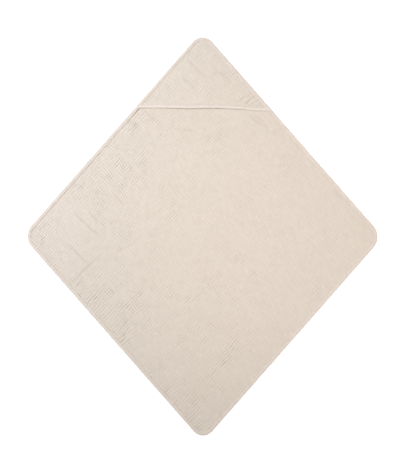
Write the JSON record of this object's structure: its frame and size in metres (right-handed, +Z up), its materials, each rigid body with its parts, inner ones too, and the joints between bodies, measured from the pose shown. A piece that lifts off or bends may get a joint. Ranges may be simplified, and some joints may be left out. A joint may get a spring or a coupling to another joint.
{
  "type": "hooded baby towel",
  "caption": "Square baby towel laid flat on its diagonal, crinkled muslin on terry, with a bound edge and a lined hood pocket over one corner.",
  "frame": {"origin": "centre of the towel's outline, on the surface that it lies on", "axes": "+Z up out of the muslin face, +Y towards the hood's corner, +X to the right of someone who looks down with the hood at the top"},
  "size_m": [1.0228, 1.1642, 0.0178],
  "materials": {
    "muslin": "crinkled double gauze cotton, washed, warm oatmeal",
    "terry": "looped cotton terry, the same warm oatmeal",
    "bias_tape": "gauze cotton bias tape, folded and topstitched",
    "thread": "spun polyester sewing thread, matched to the cloth",
    "label_satin": "blank woven satin ribbon"
  },
  "bodies": {
    "root": {"muslin_face": "muslin", "terry_backing": "terry", "hood_face": "muslin", "hood_lining": "muslin", "edge_binding": "bias_tape", "hood_binding": "bias_tape", "edge_stitching": "thread", "hood_stitching": "thread", "care_label": "label_satin"}
  },
  "joints": []
}
